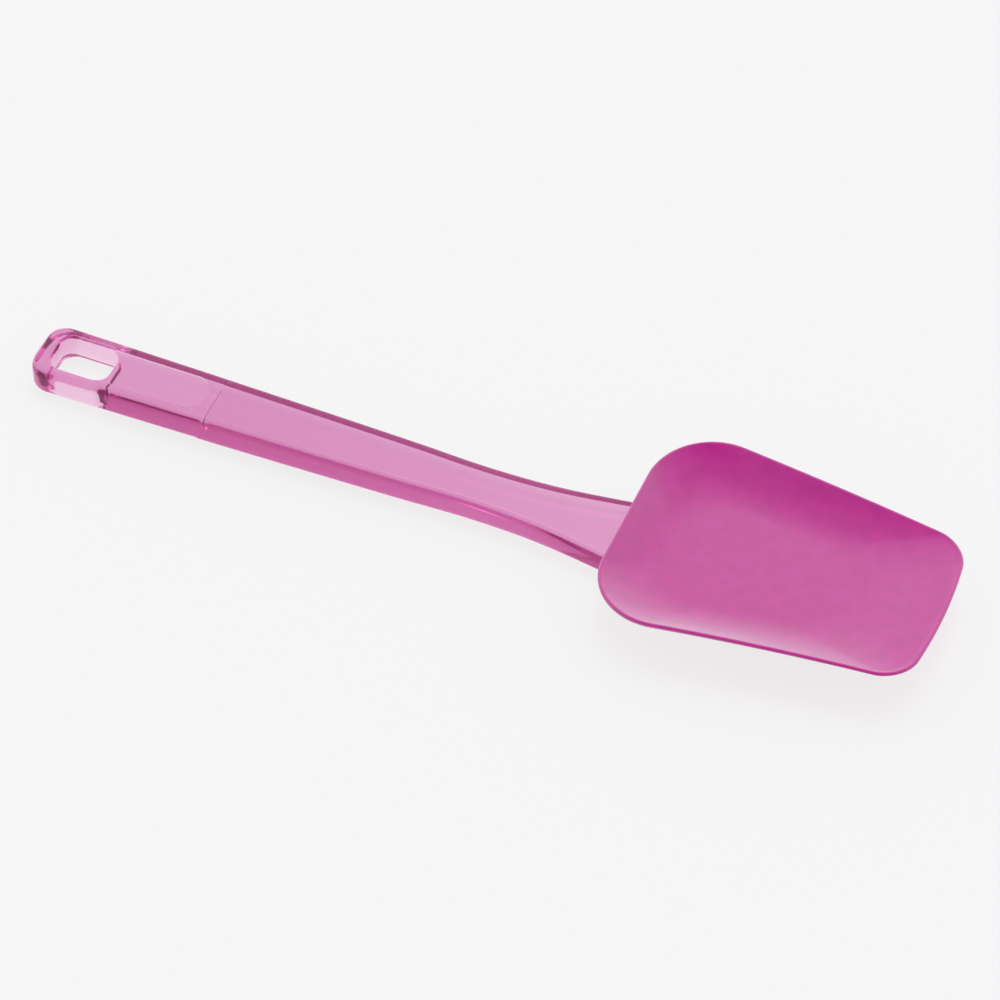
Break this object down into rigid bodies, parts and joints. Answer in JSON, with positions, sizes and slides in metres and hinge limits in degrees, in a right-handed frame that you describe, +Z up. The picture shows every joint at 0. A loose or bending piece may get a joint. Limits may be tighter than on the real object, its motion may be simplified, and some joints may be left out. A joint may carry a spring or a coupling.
{
  "type": "silicone scoop spatula",
  "caption": "Baker's scraper with a shallow silicone scoop head pushed onto the tang of a straight clear plastic handle with a hanging hole.",
  "frame": {"origin": "middle of the bounding box's bottom face, on the surface that the spatula lies on, halfway along its length", "axes": "+X from the tail of the handle to the tip of the head, +Z up out of the open side of the scoop, +Y across the head"},
  "size_m": [0.261, 0.0678, 0.0155],
  "materials": {
    "clear_pink_plastic": "clear, tinted pink, polished",
    "pink_silicone": "matte, slightly translucent"
  },
  "bodies": {
    "handle": {"handle": "clear_pink_plastic"},
    "head": {"scoop_head": "pink_silicone"}
  },
  "joints": [
    {"name": "head_pull_off", "type": "slide", "parent": "handle", "child": "head", "axis": [1, 0, 0], "range_m": [0, 0.055]}
  ]
}
